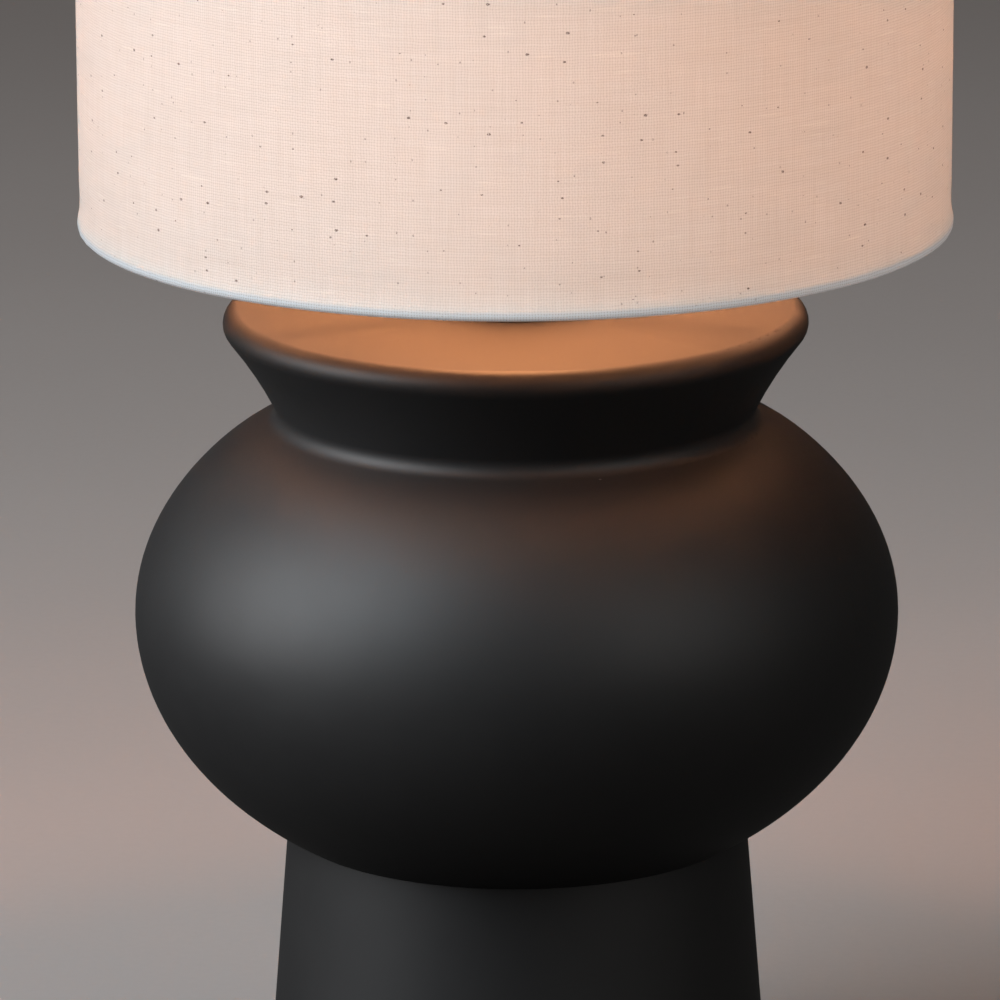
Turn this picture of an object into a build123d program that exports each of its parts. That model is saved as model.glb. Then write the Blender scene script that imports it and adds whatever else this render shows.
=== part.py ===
from build123d import *
import math
import os

# Table lamp with a drum shade. Millimetres, +Z up, front is -Y and rear is +Y.
# The origin is at the middle of the lamp, on the surface that it stands on.

# ------------------------------------------------------------------ driving sizes
# Ceramic body
PAD_H = 2.5
PEDESTAL_H = 148.9
WAIST_R = 93.7            # radius where the pedestal meets the globe
PEDESTAL_TAPER = 0.08     # radius gained per millimetre going down
GLOBE_R = 154.8
GLOBE_UPPER_H = 106.0     # the globe is two half ellipses, one on the other
GLOBE_LOWER_H = 113.4
SHOULDER_R = 122.0        # inside this radius the globe's top flattens towards the neck
SHOULDER_DROP = 2.4       # how far the neck then lies below the ellipse
NECK_R = 95.2
NECK_FILLET_R = 6.0
COLLAR_H = 45.2
COLLAR_R = 117.8
RIM_R = 6.5
RIM_SWEEP = 128.6         # degrees of rim arc, from the flat top to under the rim
CERAMIC_WALL = 5.5
RECESS_R = 90.5
RECESS_H = 25.0
SLAB_H = 6.0
CORD_Z = 14.0             # height of the cord inlet's axis

# Shade
SHADE_R = 174.5
SHADE_H = 240.0
SHADE_GAP = 36.4          # from the collar's flat top up to the bottom wire ring
FABRIC_T = 0.5
LINER_T = 0.6
HEM_R = 2.2               # outside radius of the rolled hem
RING_WIRE_R = 1.3
SPOKE_WIRE_R = 1.6
SPOKE_COUNT = 3
FITTER_INNER_R = 21.0
FITTER_OUTER_R = 27.0
FITTER_T = 2.0

# Through tube, M10 x 1
TUBE_R = 5.0
TUBE_BORE_R = 3.8
TUBE_HOLE_R = 5.6
NUT_FLAT_R = 7.0          # half of the distance across the flats

# Lampholder and bulb, E27
E27_PITCH = 3.629
E27_CAP_R = 13.05
E27_THREAD_DEPTH = 0.75
SHELL_GAP = 0.1           # radial running clearance between cap and screw shell
SHELL_T = 0.4
SKIRT_R = 19.4            # over the crests of the outside thread
SKIRT_PITCH = 2.5
SKIRT_THREAD_DEPTH = 0.9
BULB_R = 30.0
BULB_LENGTH = 105.0
SEAT_GAP = 0.3            # clearance of a piece that turns on its seat
EPS = 0.01

# ------------------------------------------------------------------ derived places


def ellipse_height(semi_height, semi_width, radius):
    """Height above the ellipse's centre at which it has this radius."""
    return semi_height * math.sqrt(1 - (radius / semi_width) ** 2)


FOOT_Z = PAD_H
WAIST_Z = FOOT_Z + PEDESTAL_H
GLOBE_Z = WAIST_Z + ellipse_height(GLOBE_LOWER_H, GLOBE_R, WAIST_R)
NECK_Z = GLOBE_Z + ellipse_height(GLOBE_UPPER_H, GLOBE_R, NECK_R) - SHOULDER_DROP
COLLAR_Z = NECK_Z + COLLAR_H
SLAB_Z = FOOT_Z + RECESS_H
CAVITY_Z = SLAB_Z + SLAB_H
FOOT_R = WAIST_R + PEDESTAL_TAPER * PEDESTAL_H

VASE_CAP_H = 4.0
CAP_NUT_Z = COLLAR_Z + VASE_CAP_H
CAP_NUT_H = 4.0
HOLDER_Z = CAP_NUT_Z + CAP_NUT_H
BOSS_H = 9.0
TUBE_TOP_Z = HOLDER_Z + BOSS_H
DOME_TOP_Z = HOLDER_Z + 25.0
SKIRT_Z = HOLDER_Z + 19.5
FLANGE_TOP_Z = HOLDER_Z + 31.0
SKIRT_TOP_Z = HOLDER_Z + 63.5
INSERT_Z = HOLDER_Z + 21.5
INSERT_H = 9.5
SHELL_Z = INSERT_Z + INSERT_H
SHELL_TOP_Z = SKIRT_TOP_Z - 3.0
CONTACT_TOP_Z = SHELL_Z + 5.0

FITTER_Z = FLANGE_TOP_Z + SEAT_GAP
CLAMP_Z = FITTER_Z + FITTER_T + SEAT_GAP
CLAMP_H = 8.0
SHADE_Z = COLLAR_Z + SHADE_GAP
SHADE_TOP_Z = SHADE_Z + SHADE_H
HEM_CENTRE_R = SHADE_R + 0.5 - HEM_R

BULB_Z = CONTACT_TOP_Z + 0.2
CAP_Z = BULB_Z + 6.5
CAP_TOP_Z = BULB_Z + 27.0
BULB_TOP_Z = BULB_Z + BULB_LENGTH
BULB_CENTRE_Z = BULB_TOP_Z - BULB_R


# ------------------------------------------------------------------ shared sections
def body_section(inset, bottom_z):
    """Right half of the ceramic form's upright section, inset from its outside."""
    globe_r = GLOBE_R - inset
    upper_h = GLOBE_UPPER_H - inset
    lower_h = GLOBE_LOWER_H - inset
    neck_r = NECK_R - inset
    waist_r = WAIST_R - inset
    neck = (neck_r, GLOBE_Z + ellipse_height(upper_h, globe_r, neck_r) - SHOULDER_DROP)
    waist = (waist_r, GLOBE_Z - ellipse_height(lower_h, globe_r, waist_r))
    foot = (waist_r + PEDESTAL_TAPER * (waist[1] - bottom_z), bottom_z)
    rim_centre = (COLLAR_R - RIM_R, COLLAR_Z - RIM_R)
    top = COLLAR_Z - inset
    shoulder_angle = math.degrees(math.acos((SHOULDER_R - inset) / globe_r))
    waist_angle = math.degrees(math.acos(waist_r / globe_r))
    with BuildSketch(Plane.XZ) as section:
        with BuildLine():
            Line((0, top), (rim_centre[0], top))
            rim = CenterArc(rim_centre, RIM_R - inset, 90, -RIM_SWEEP)
            TangentArc(rim @ 1, neck, tangent=rim % 1)
            globe_top = EllipticalCenterArc((0, GLOBE_Z), globe_r, upper_h, shoulder_angle,
                                            arc_size=-shoulder_angle)
            TangentArc(globe_top @ 0, neck, tangent=-(globe_top % 0))
            EllipticalCenterArc((0, GLOBE_Z), globe_r, lower_h, 0, arc_size=-waist_angle)
            Polyline(waist, foot, (0, bottom_z), (0, top))
        make_face()
        fillet(section.vertices().sort_by_distance(neck)[0], NECK_FILLET_R)
    return section.sketch


def ring_section(inner_r, outer_r, bottom_z, height):
    """Rectangular half section of a plain ring about the lamp's axis."""
    with BuildSketch(Plane.XZ) as section:
        with Locations(((inner_r + outer_r) / 2, bottom_z + height / 2)):
            Rectangle(outer_r - inner_r, height)
    return section.sketch


def thread_edges(bottom_z, turns, pitch, root_r, crest_r):
    """Rounded thread outline going up from bottom_z: a root arc, then a crest arc, for each turn."""
    middle_r = (root_r + crest_r) / 2
    for turn in range(turns):
        z = bottom_z + turn * pitch
        ThreePointArc((middle_r, z), (root_r, z + pitch / 4), (middle_r, z + pitch / 2))
        ThreePointArc((middle_r, z + pitch / 2), (crest_r, z + pitch * 3 / 4), (middle_r, z + pitch))


def save(builder, label):
    builder.part.label = label
    export_step(builder.part, f"parts/{label}.step")


os.makedirs("parts", exist_ok=True)

# ------------------------------------------------------------------ ceramic body
FOOT_EDGE_R = 2.5
NOTCH_CUT = 30.0
GROMMET_R = 6.0
GROMMET_FLANGE_R = 8.5


def arch(radius, foot_z):
    """Arched outline about the cord inlet: round above its axis, straight sides down to foot_z."""
    Circle(radius)
    with Locations((0, (foot_z - CORD_Z) / 2)):
        Rectangle(2 * radius, CORD_Z - foot_z)


def rear_plane(y):
    """Upright plane facing the rear at this y, with its origin on the cord inlet's axis."""
    return Plane(origin=(0, y, CORD_Z), x_dir=(-1, 0, 0), z_dir=(0, 1, 0))


with BuildPart() as ceramic_body:
    revolve(body_section(0, FOOT_Z), axis=Axis.Z)
    revolve(body_section(CERAMIC_WALL, CAVITY_Z), axis=Axis.Z, mode=Mode.SUBTRACT)
    revolve(ring_section(0, RECESS_R, FOOT_Z, RECESS_H), axis=Axis.Z, mode=Mode.SUBTRACT)
    foot_edges = ceramic_body.edges().filter_by(GeomType.CIRCLE).group_by(Axis.Z)[0]
    fillet(foot_edges, FOOT_EDGE_R)
    # a hole up through the slab and the collar for the tube, and an arched notch at the rear for the cord
    with BuildSketch(Plane.XY.offset(FOOT_Z)):
        Circle(TUBE_HOLE_R)
    extrude(amount=COLLAR_Z - FOOT_Z + EPS, mode=Mode.SUBTRACT)
    with BuildSketch(rear_plane(RECESS_R - NOTCH_CUT / 3)):
        arch(GROMMET_R, FOOT_Z - EPS)
    extrude(amount=NOTCH_CUT, mode=Mode.SUBTRACT)
save(ceramic_body, "ceramic_body")

# ------------------------------------------------------------------ foot pads
PAD_COUNT = 4
PAD_R = 5.5
PAD_CIRCLE_R = (RECESS_R + FOOT_R) / 2

with BuildPart() as foot_pads:
    with BuildSketch(Plane.XY):
        with PolarLocations(PAD_CIRCLE_R, PAD_COUNT, start_angle=45):
            Circle(PAD_R)
    extrude(amount=PAD_H)
save(foot_pads, "foot_pads")

# ------------------------------------------------------------------ cord inlet grommet
GROMMET_BORE_R = 3.6
GROMMET_FOOT_Z = FOOT_Z + 1.0
GROMMET_LIP = 1.6
GROMMET_INNER_Y = RECESS_R - GROMMET_LIP
GROMMET_OUTER_Y = FOOT_R - PEDESTAL_TAPER * (CORD_Z - FOOT_Z) + GROMMET_LIP
GROMMET_EDGE_R = 1.0
FLANGE_BAND = 4.0         # stretch of flange that is then cut to the ceramic's curve

with BuildPart() as cord_grommet:
    with BuildSketch(rear_plane(GROMMET_INNER_Y)):
        arch(GROMMET_R, GROMMET_FOOT_Z)
    extrude(amount=GROMMET_OUTER_Y - GROMMET_INNER_Y)
    with BuildSketch(rear_plane(GROMMET_INNER_Y)):
        arch(GROMMET_FLANGE_R, GROMMET_FOOT_Z)
    extrude(amount=FLANGE_BAND)
    with BuildSketch(rear_plane(GROMMET_OUTER_Y)):
        arch(GROMMET_FLANGE_R, GROMMET_FOOT_Z)
    extrude(amount=-FLANGE_BAND)
    fillet(cord_grommet.faces().sort_by(Axis.Y)[-1].edges(), GROMMET_EDGE_R)
    add(ceramic_body.part, mode=Mode.SUBTRACT)
    with BuildSketch(rear_plane(GROMMET_INNER_Y - EPS)):
        Circle(GROMMET_BORE_R)
    extrude(amount=GROMMET_OUTER_Y - GROMMET_INNER_Y + 2 * EPS, mode=Mode.SUBTRACT)
save(cord_grommet, "cord_grommet")

# ------------------------------------------------------------------ through tube and its fixings
WASHER_T = 2.0
STEEL_WASHER_R = 19.0
RUBBER_WASHER_R = 21.0
SPRING_WASHER_R = 9.0
SPRING_SLIT = 1.5
BASE_NUT_H = 5.0
TUBE_END = 4.0            # length of tube showing below the base nut
BASE_NUT_Z = SLAB_Z - 3 * WASHER_T - BASE_NUT_H
TUBE_BOTTOM_Z = BASE_NUT_Z - TUBE_END
CHAMFER = 0.6


def washer(label, outer_r, bottom_z, height, slit=0.0):
    """A washer on the tube, split on one side where a slit width is given."""
    with BuildPart() as ring:
        revolve(ring_section(TUBE_R, outer_r, bottom_z, height), axis=Axis.Z)
        if slit:
            with BuildSketch(Plane.XY.offset(bottom_z)):
                with Locations((outer_r / 2, 0)):
                    Rectangle(outer_r + 1, slit)
            extrude(amount=height, mode=Mode.SUBTRACT)
    save(ring, label)


def hex_nut(label, bottom_z, height):
    with BuildPart() as nut:
        with BuildSketch(Plane.XY.offset(bottom_z)):
            RegularPolygon(NUT_FLAT_R, 6, major_radius=False)
            Circle(TUBE_R, mode=Mode.SUBTRACT)
        extrude(amount=height)
        chamfer(nut.edges().filter_by(GeomType.LINE).filter_by(Plane.XY), CHAMFER)
    save(nut, label)


with BuildPart() as threaded_tube:
    revolve(ring_section(TUBE_BORE_R, TUBE_R, TUBE_BOTTOM_Z, TUBE_TOP_Z - TUBE_BOTTOM_Z), axis=Axis.Z)
    end_edges = threaded_tube.edges().filter_by(GeomType.CIRCLE).filter_by(
        lambda edge: edge.radius > TUBE_BORE_R + EPS)
    chamfer(end_edges, CHAMFER)
save(threaded_tube, "threaded_tube")

washer("base_rubber_washer", RUBBER_WASHER_R, SLAB_Z - WASHER_T, WASHER_T)
washer("base_steel_washer", STEEL_WASHER_R, SLAB_Z - 2 * WASHER_T, WASHER_T)
washer("base_spring_washer", SPRING_WASHER_R, SLAB_Z - 3 * WASHER_T, WASHER_T, SPRING_SLIT)
hex_nut("base_nut", BASE_NUT_Z, BASE_NUT_H)

# ------------------------------------------------------------------ vase cap on the collar
VASE_CAP_R = 32.0
VASE_CAP_T = 1.2
VASE_CAP_EDGE_R = 2.5
VASE_CAP_STEP_R = 26.0    # inside this radius the cap is thin, and sits on the washer
COLLAR_WASHER_R = 24.0

washer("collar_washer", COLLAR_WASHER_R, COLLAR_Z, VASE_CAP_H - VASE_CAP_T)

with BuildPart() as vase_cap:
    revolve(ring_section(TUBE_R, VASE_CAP_R, COLLAR_Z, VASE_CAP_H), axis=Axis.Z)
    fillet(vase_cap.edges().group_by(Axis.Z)[-1].sort_by(SortBy.RADIUS)[-1], VASE_CAP_EDGE_R)
    revolve(ring_section(0, VASE_CAP_R - VASE_CAP_T, COLLAR_Z, VASE_CAP_H - VASE_CAP_EDGE_R),
            axis=Axis.Z, mode=Mode.SUBTRACT)
    revolve(ring_section(0, VASE_CAP_STEP_R, COLLAR_Z, VASE_CAP_H - VASE_CAP_T), axis=Axis.Z,
            mode=Mode.SUBTRACT)
save(vase_cap, "vase_cap")

hex_nut("cap_nut", CAP_NUT_Z, CAP_NUT_H)

# ------------------------------------------------------------------ lampholder dome
BOSS_R = 10.5
DOME_R = 21.0
DOME_WALL = 2.4
LAP_H = DOME_TOP_Z - SKIRT_Z      # the skirt's lower end goes round the dome's upper end
LAP_R = 18.8
BOSS_SIDE_H = 6.5
DOME_CURVE_R = 12.0
DOME_SHOULDER_Z = HOLDER_Z + 16.0
DOME_BEVEL = 5.0          # slope between the dome's floor and its inside wall
GRUB_R = 1.5
GRUB_Z = HOLDER_Z + 4.0
GRUB_INSET = 0.4
GRUB_SLOT_W = 0.5
GRUB_SLOT_DEPTH = 0.8

with BuildPart() as holder_dome:
    with BuildSketch(Plane.XZ):
        with BuildLine():
            dome_floor_z = HOLDER_Z + BOSS_H
            dome_bore_r = LAP_R - DOME_WALL
            Polyline((TUBE_R, HOLDER_Z), (BOSS_R, HOLDER_Z), (BOSS_R, HOLDER_Z + BOSS_SIDE_H))
            RadiusArc((BOSS_R, HOLDER_Z + BOSS_SIDE_H), (DOME_R, DOME_SHOULDER_Z), -DOME_CURVE_R)
            Polyline((DOME_R, DOME_SHOULDER_Z), (DOME_R, SKIRT_Z), (LAP_R, SKIRT_Z), (LAP_R, DOME_TOP_Z),
                     (dome_bore_r, DOME_TOP_Z), (dome_bore_r, dome_floor_z + DOME_BEVEL),
                     (dome_bore_r - DOME_BEVEL, dome_floor_z), (TUBE_R, dome_floor_z), (TUBE_R, HOLDER_Z))
        make_face()
    revolve(axis=Axis.Z)
    with BuildSketch(Plane(origin=(0, 0, GRUB_Z), z_dir=(1, 0, 0))):
        Circle(GRUB_R)
    extrude(amount=BOSS_R + EPS, mode=Mode.SUBTRACT)
save(holder_dome, "holder_dome")

with BuildPart() as grub_screw:
    with BuildSketch(Plane(origin=(TUBE_R, 0, GRUB_Z), z_dir=(1, 0, 0))):
        Circle(GRUB_R)
    extrude(amount=BOSS_R - GRUB_INSET - TUBE_R)
    with BuildSketch(Plane(origin=(BOSS_R - GRUB_INSET, 0, GRUB_Z), z_dir=(1, 0, 0))):
        Rectangle(2 * GRUB_R, GRUB_SLOT_W)
    extrude(amount=-GRUB_SLOT_DEPTH, mode=Mode.SUBTRACT)
save(grub_screw, "grub_screw")

# ------------------------------------------------------------------ lampholder skirt
GRIP_R = 22.0
FLANGE_R = 24.5
FLANGE_T = 2.2
SKIRT_BORE_R = 17.2
LIP_BORE_R = 15.4
LIP_H = 1.8
RELIEF_H = 3.0            # plain neck between the flange and the first thread
SKIRT_BEVEL = 1.0
SKIRT_TURNS = 11
GRIP_RIBS = 36
GRIP_GROOVE_R = 0.7

with BuildPart() as holder_skirt:
    with BuildSketch(Plane.XZ):
        with BuildLine():
            thread_z = FLANGE_TOP_Z + RELIEF_H
            thread_top_z = thread_z + SKIRT_TURNS * SKIRT_PITCH
            thread_r = SKIRT_R - SKIRT_THREAD_DEPTH / 2
            Polyline((LAP_R, SKIRT_Z), (GRIP_R, SKIRT_Z), (GRIP_R, FLANGE_TOP_Z - FLANGE_T),
                     (FLANGE_R, FLANGE_TOP_Z - FLANGE_T), (FLANGE_R, FLANGE_TOP_Z),
                     (thread_r, FLANGE_TOP_Z), (thread_r, thread_z))
            thread_edges(thread_z, SKIRT_TURNS, SKIRT_PITCH, SKIRT_R - SKIRT_THREAD_DEPTH, SKIRT_R)
            Polyline((thread_r, thread_top_z), (thread_r, SKIRT_TOP_Z - SKIRT_BEVEL),
                     (thread_r - SKIRT_BEVEL, SKIRT_TOP_Z), (LIP_BORE_R, SKIRT_TOP_Z),
                     (LIP_BORE_R, SKIRT_TOP_Z - LIP_H), (SKIRT_BORE_R, SKIRT_TOP_Z - LIP_H),
                     (SKIRT_BORE_R, DOME_TOP_Z), (LAP_R, DOME_TOP_Z), (LAP_R, SKIRT_Z))
        make_face()
    revolve(axis=Axis.Z)
    with BuildSketch(Plane.XY.offset(SKIRT_Z)):
        with PolarLocations(GRIP_R, GRIP_RIBS):
            Circle(GRIP_GROOVE_R)
    extrude(amount=FLANGE_TOP_Z - FLANGE_T - SKIRT_Z, mode=Mode.SUBTRACT)
save(holder_skirt, "holder_skirt")

# ------------------------------------------------------------------ lampholder inside
TERMINAL_X = 10.0
TERMINAL_W = 6.0
TERMINAL_H = 7.0
TERMINAL_HOLE_R = 1.2
TERMINAL_HOLE_Z = INSERT_Z - 2.2
TERMINAL_BOTTOM_Z = INSERT_Z - TERMINAL_H
SCREW_R = 1.5
SCREW_L = 3.4             # from under the head up to the wire hole
SCREW_HEAD_R = 2.4
SCREW_HEAD_H = 1.4
SCREW_SLOT_W = 0.6
SCREW_SLOT_DEPTH = 0.7
RIVET_Y = 9.5
RIVET_R = 1.4
RIVET_HEAD_R = 2.4
RIVET_HEAD_H = 0.9
CONTACT_W = 6.0
CONTACT_T = 0.5
SHELL_HOLE_R = 6.5
SHELL_CREST_R = E27_CAP_R + SHELL_GAP
SHELL_ROOT_R = SHELL_CREST_R + E27_THREAD_DEPTH
SHELL_TURNS = 6
SHELL_THREAD_Z = SHELL_Z + 2.0
SHELL_THREAD_TOP_Z = SHELL_THREAD_Z + SHELL_TURNS * E27_PITCH

with BuildPart() as holder_insert:
    revolve(ring_section(0, SKIRT_BORE_R, DOME_TOP_Z, SHELL_Z - DOME_TOP_Z), axis=Axis.Z)
    revolve(ring_section(0, LAP_R - DOME_WALL, INSERT_Z, DOME_TOP_Z - INSERT_Z), axis=Axis.Z)
    with BuildSketch(Plane.XY.offset(INSERT_Z)):
        with Locations((0, RIVET_Y), (0, -RIVET_Y)):
            Circle(RIVET_R)
    extrude(amount=INSERT_H, mode=Mode.SUBTRACT)
save(holder_insert, "holder_insert")

with BuildPart() as screw_shell:
    inside_r = (SHELL_CREST_R + SHELL_ROOT_R) / 2
    outside_r = inside_r + SHELL_T
    with BuildSketch(Plane.XZ):
        with BuildLine():
            Polyline((inside_r, SHELL_THREAD_Z), (inside_r, SHELL_Z + SHELL_T),
                     (SHELL_HOLE_R, SHELL_Z + SHELL_T), (SHELL_HOLE_R, SHELL_Z),
                     (outside_r, SHELL_Z), (outside_r, SHELL_THREAD_Z))
            thread_edges(SHELL_THREAD_Z, SHELL_TURNS, E27_PITCH, SHELL_CREST_R, SHELL_ROOT_R)
            thread_edges(SHELL_THREAD_Z, SHELL_TURNS, E27_PITCH, SHELL_CREST_R + SHELL_T,
                         SHELL_ROOT_R + SHELL_T)
            Polyline((inside_r, SHELL_THREAD_TOP_Z), (inside_r, SHELL_TOP_Z),
                     (outside_r, SHELL_TOP_Z), (outside_r, SHELL_THREAD_TOP_Z))
        make_face()
    revolve(axis=Axis.Z)
    with BuildSketch(Plane.XY.offset(SHELL_Z)):
        with Locations((0, RIVET_Y), (0, -RIVET_Y)):
            Circle(RIVET_R)
    extrude(amount=SHELL_T, mode=Mode.SUBTRACT)
save(screw_shell, "screw_shell")

with BuildPart() as centre_contact:
    # a bent strip: its foot lies on the insert, and its tongue comes back over the middle
    foot_z = SHELL_Z + CONTACT_T / 2
    tongue_z = CONTACT_TOP_Z - CONTACT_T / 2
    with BuildSketch(Plane.XZ.offset(-CONTACT_W / 2)):
        with BuildLine():
            arch = Polyline((-5.0, foot_z), (4.6, foot_z), (5.2, foot_z + 1.95), (0.5, tongue_z),
                            (-3.5, tongue_z - 0.8))
            offset(arch, amount=CONTACT_T / 2, side=Side.BOTH)
        make_face()
    extrude(amount=CONTACT_W)
save(centre_contact, "centre_contact")


def terminal(label, x):
    """A brass terminal block under the insert, with a hole for its wire and one for its screw."""
    with BuildPart() as block:
        with BuildSketch(Plane.XY.offset(TERMINAL_BOTTOM_Z)):
            with Locations((x, 0)):
                Rectangle(TERMINAL_W, TERMINAL_W)
        extrude(amount=TERMINAL_H)
        with BuildSketch(Plane(origin=(x, -TERMINAL_W, TERMINAL_HOLE_Z), z_dir=(0, 1, 0))):
            Circle(TERMINAL_HOLE_R)
        extrude(amount=2 * TERMINAL_W, mode=Mode.SUBTRACT)
        with BuildSketch(Plane.XY.offset(TERMINAL_BOTTOM_Z)):
            with Locations((x, 0)):
                Circle(SCREW_R)
        extrude(amount=SCREW_L, mode=Mode.SUBTRACT)
    save(block, label)


terminal("live_terminal", -TERMINAL_X)
terminal("neutral_terminal", TERMINAL_X)

with BuildPart() as terminal_screws:
    with BuildSketch(Plane.XY.offset(TERMINAL_BOTTOM_Z)):
        with Locations((-TERMINAL_X, 0), (TERMINAL_X, 0)):
            Circle(SCREW_R)
    extrude(amount=SCREW_L)
    with BuildSketch(Plane.XY.offset(TERMINAL_BOTTOM_Z)):
        with Locations((-TERMINAL_X, 0), (TERMINAL_X, 0)):
            Circle(SCREW_HEAD_R)
    extrude(amount=-SCREW_HEAD_H)
    with BuildSketch(Plane.XY.offset(TERMINAL_BOTTOM_Z - SCREW_HEAD_H)):
        with Locations((-TERMINAL_X, 0), (TERMINAL_X, 0)):
            Rectangle(2 * SCREW_HEAD_R, SCREW_SLOT_W)
    extrude(amount=SCREW_SLOT_DEPTH, mode=Mode.SUBTRACT)
save(terminal_screws, "terminal_screws")

with BuildPart() as shell_rivets:
    with BuildSketch(Plane.XY.offset(INSERT_Z)):
        with Locations((0, RIVET_Y), (0, -RIVET_Y)):
            Circle(RIVET_R)
    extrude(amount=INSERT_H + SHELL_T)
    with BuildSketch(Plane.XY.offset(SHELL_Z + SHELL_T)):
        with Locations((0, RIVET_Y), (0, -RIVET_Y)):
            Circle(RIVET_HEAD_R)
    extrude(amount=RIVET_HEAD_H)
    with BuildSketch(Plane.XY.offset(INSERT_Z)):
        with Locations((0, RIVET_Y), (0, -RIVET_Y)):
            Circle(RIVET_HEAD_R)
    extrude(amount=-RIVET_HEAD_H)
save(shell_rivets, "shell_rivets")

# ------------------------------------------------------------------ shade frame
SPOKE_RAMP_R = (48.0, 35.0)   # the spoke steps up to the fitter between these radii
SPOKE_BEND_R = 5.0
SPOKE_START_ANGLE = 90.0
SPOKE_TIP_R = FITTER_OUTER_R - 1.0
SPOKE_TIP_Z = FITTER_Z + FITTER_T - SPOKE_WIRE_R
FITTER_EDGE_R = 0.5


def wire_ring(label, z):
    with BuildPart() as ring:
        with BuildSketch(Plane.XZ):
            with Locations((HEM_CENTRE_R, z)):
                Circle(RING_WIRE_R)
        revolve(axis=Axis.Z)
    save(ring, label)
    return ring


top_ring = wire_ring("top_ring", SHADE_TOP_Z)
bottom_ring = wire_ring("bottom_ring", SHADE_Z)

with BuildPart() as fitter_ring:
    revolve(ring_section(FITTER_INNER_R, FITTER_OUTER_R, FITTER_Z, FITTER_T), axis=Axis.Z)
    fillet(fitter_ring.edges().filter_by(GeomType.CIRCLE), FITTER_EDGE_R)
save(fitter_ring, "fitter_ring")

with BuildPart() as shade_spokes:
    for turn in range(SPOKE_COUNT):
        angle = math.radians(SPOKE_START_ANGLE + turn * 360 / SPOKE_COUNT)
        outward = Plane(origin=(0, 0, 0), x_dir=(math.cos(angle), math.sin(angle), 0),
                        z_dir=(math.sin(angle), -math.cos(angle), 0))
        with BuildLine(outward) as spoke_path:
            FilletPolyline((HEM_CENTRE_R, SHADE_Z), (SPOKE_RAMP_R[0], SHADE_Z),
                           (SPOKE_RAMP_R[1], SPOKE_TIP_Z), (SPOKE_TIP_R, SPOKE_TIP_Z),
                           radius=SPOKE_BEND_R)
        start = spoke_path.line @ 0
        with BuildSketch(Plane(origin=start, z_dir=spoke_path.line % 0)):
            Circle(SPOKE_WIRE_R)
        sweep(path=spoke_path.line)
    add(bottom_ring.part, mode=Mode.SUBTRACT)
    add(fitter_ring.part, mode=Mode.SUBTRACT)
save(shade_spokes, "shade_spokes")

# ------------------------------------------------------------------ shade cover and liner
FLAP_H = 3.5              # cloth turned in and glued down inside the liner
SPOKE_SLIT_R = SPOKE_WIRE_R + SEAT_GAP
LINER_R = SHADE_R - FABRIC_T
FLAP_R = LINER_R - LINER_T

with BuildPart() as shade_fabric:
    revolve(ring_section(LINER_R, SHADE_R, SHADE_Z, SHADE_H), axis=Axis.Z)
    revolve(ring_section(FLAP_R - FABRIC_T, FLAP_R, SHADE_Z, FLAP_H), axis=Axis.Z)
    revolve(ring_section(FLAP_R - FABRIC_T, FLAP_R, SHADE_TOP_Z - FLAP_H, FLAP_H), axis=Axis.Z)
    with BuildSketch(Plane.XZ):
        with Locations((HEM_CENTRE_R, SHADE_Z), (HEM_CENTRE_R, SHADE_TOP_Z)):
            Circle(HEM_R)
    revolve(axis=Axis.Z)
    with BuildSketch(Plane.XZ):
        with Locations((HEM_CENTRE_R, SHADE_Z), (HEM_CENTRE_R, SHADE_TOP_Z)):
            Circle(RING_WIRE_R)
    revolve(axis=Axis.Z, mode=Mode.SUBTRACT)
    # the hem is slit where each spoke comes in to the wire ring
    for turn in range(SPOKE_COUNT):
        angle = math.radians(SPOKE_START_ANGLE + turn * 360 / SPOKE_COUNT)
        inward = (-math.cos(angle), -math.sin(angle), 0)
        spoke_start = (HEM_CENTRE_R * math.cos(angle), HEM_CENTRE_R * math.sin(angle), SHADE_Z)
        with BuildSketch(Plane(origin=spoke_start, z_dir=inward)):
            Circle(SPOKE_SLIT_R)
        extrude(amount=3 * HEM_R, mode=Mode.SUBTRACT)
save(shade_fabric, "shade_fabric")

LINER_INSET = HEM_R + 0.6  # the liner stops just short of the wire rings

with BuildPart() as shade_liner:
    revolve(ring_section(FLAP_R, LINER_R, SHADE_Z + LINER_INSET, SHADE_H - 2 * LINER_INSET),
            axis=Axis.Z)
save(shade_liner, "shade_liner")

# ------------------------------------------------------------------ shade clamping ring
CLAMP_R = 27.5
CLAMP_BORE_R = SKIRT_R + SEAT_GAP
CLAMP_GRIPS = 30
CLAMP_GRIP_R = 1.1
CLAMP_BASE_H = 2.0        # plain band under the finger grips
CLAMP_EDGE_R = 1.0

with BuildPart() as shade_ring:
    revolve(ring_section(CLAMP_BORE_R, CLAMP_R, CLAMP_Z, CLAMP_H), axis=Axis.Z)
    fillet(shade_ring.edges().group_by(Axis.Z)[-1], CLAMP_EDGE_R)
    with BuildSketch(Plane.XY.offset(CLAMP_Z + CLAMP_BASE_H)):
        with PolarLocations(CLAMP_R, CLAMP_GRIPS):
            Circle(CLAMP_GRIP_R)
    extrude(amount=CLAMP_H, mode=Mode.SUBTRACT)
save(shade_ring, "shade_ring")

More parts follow.
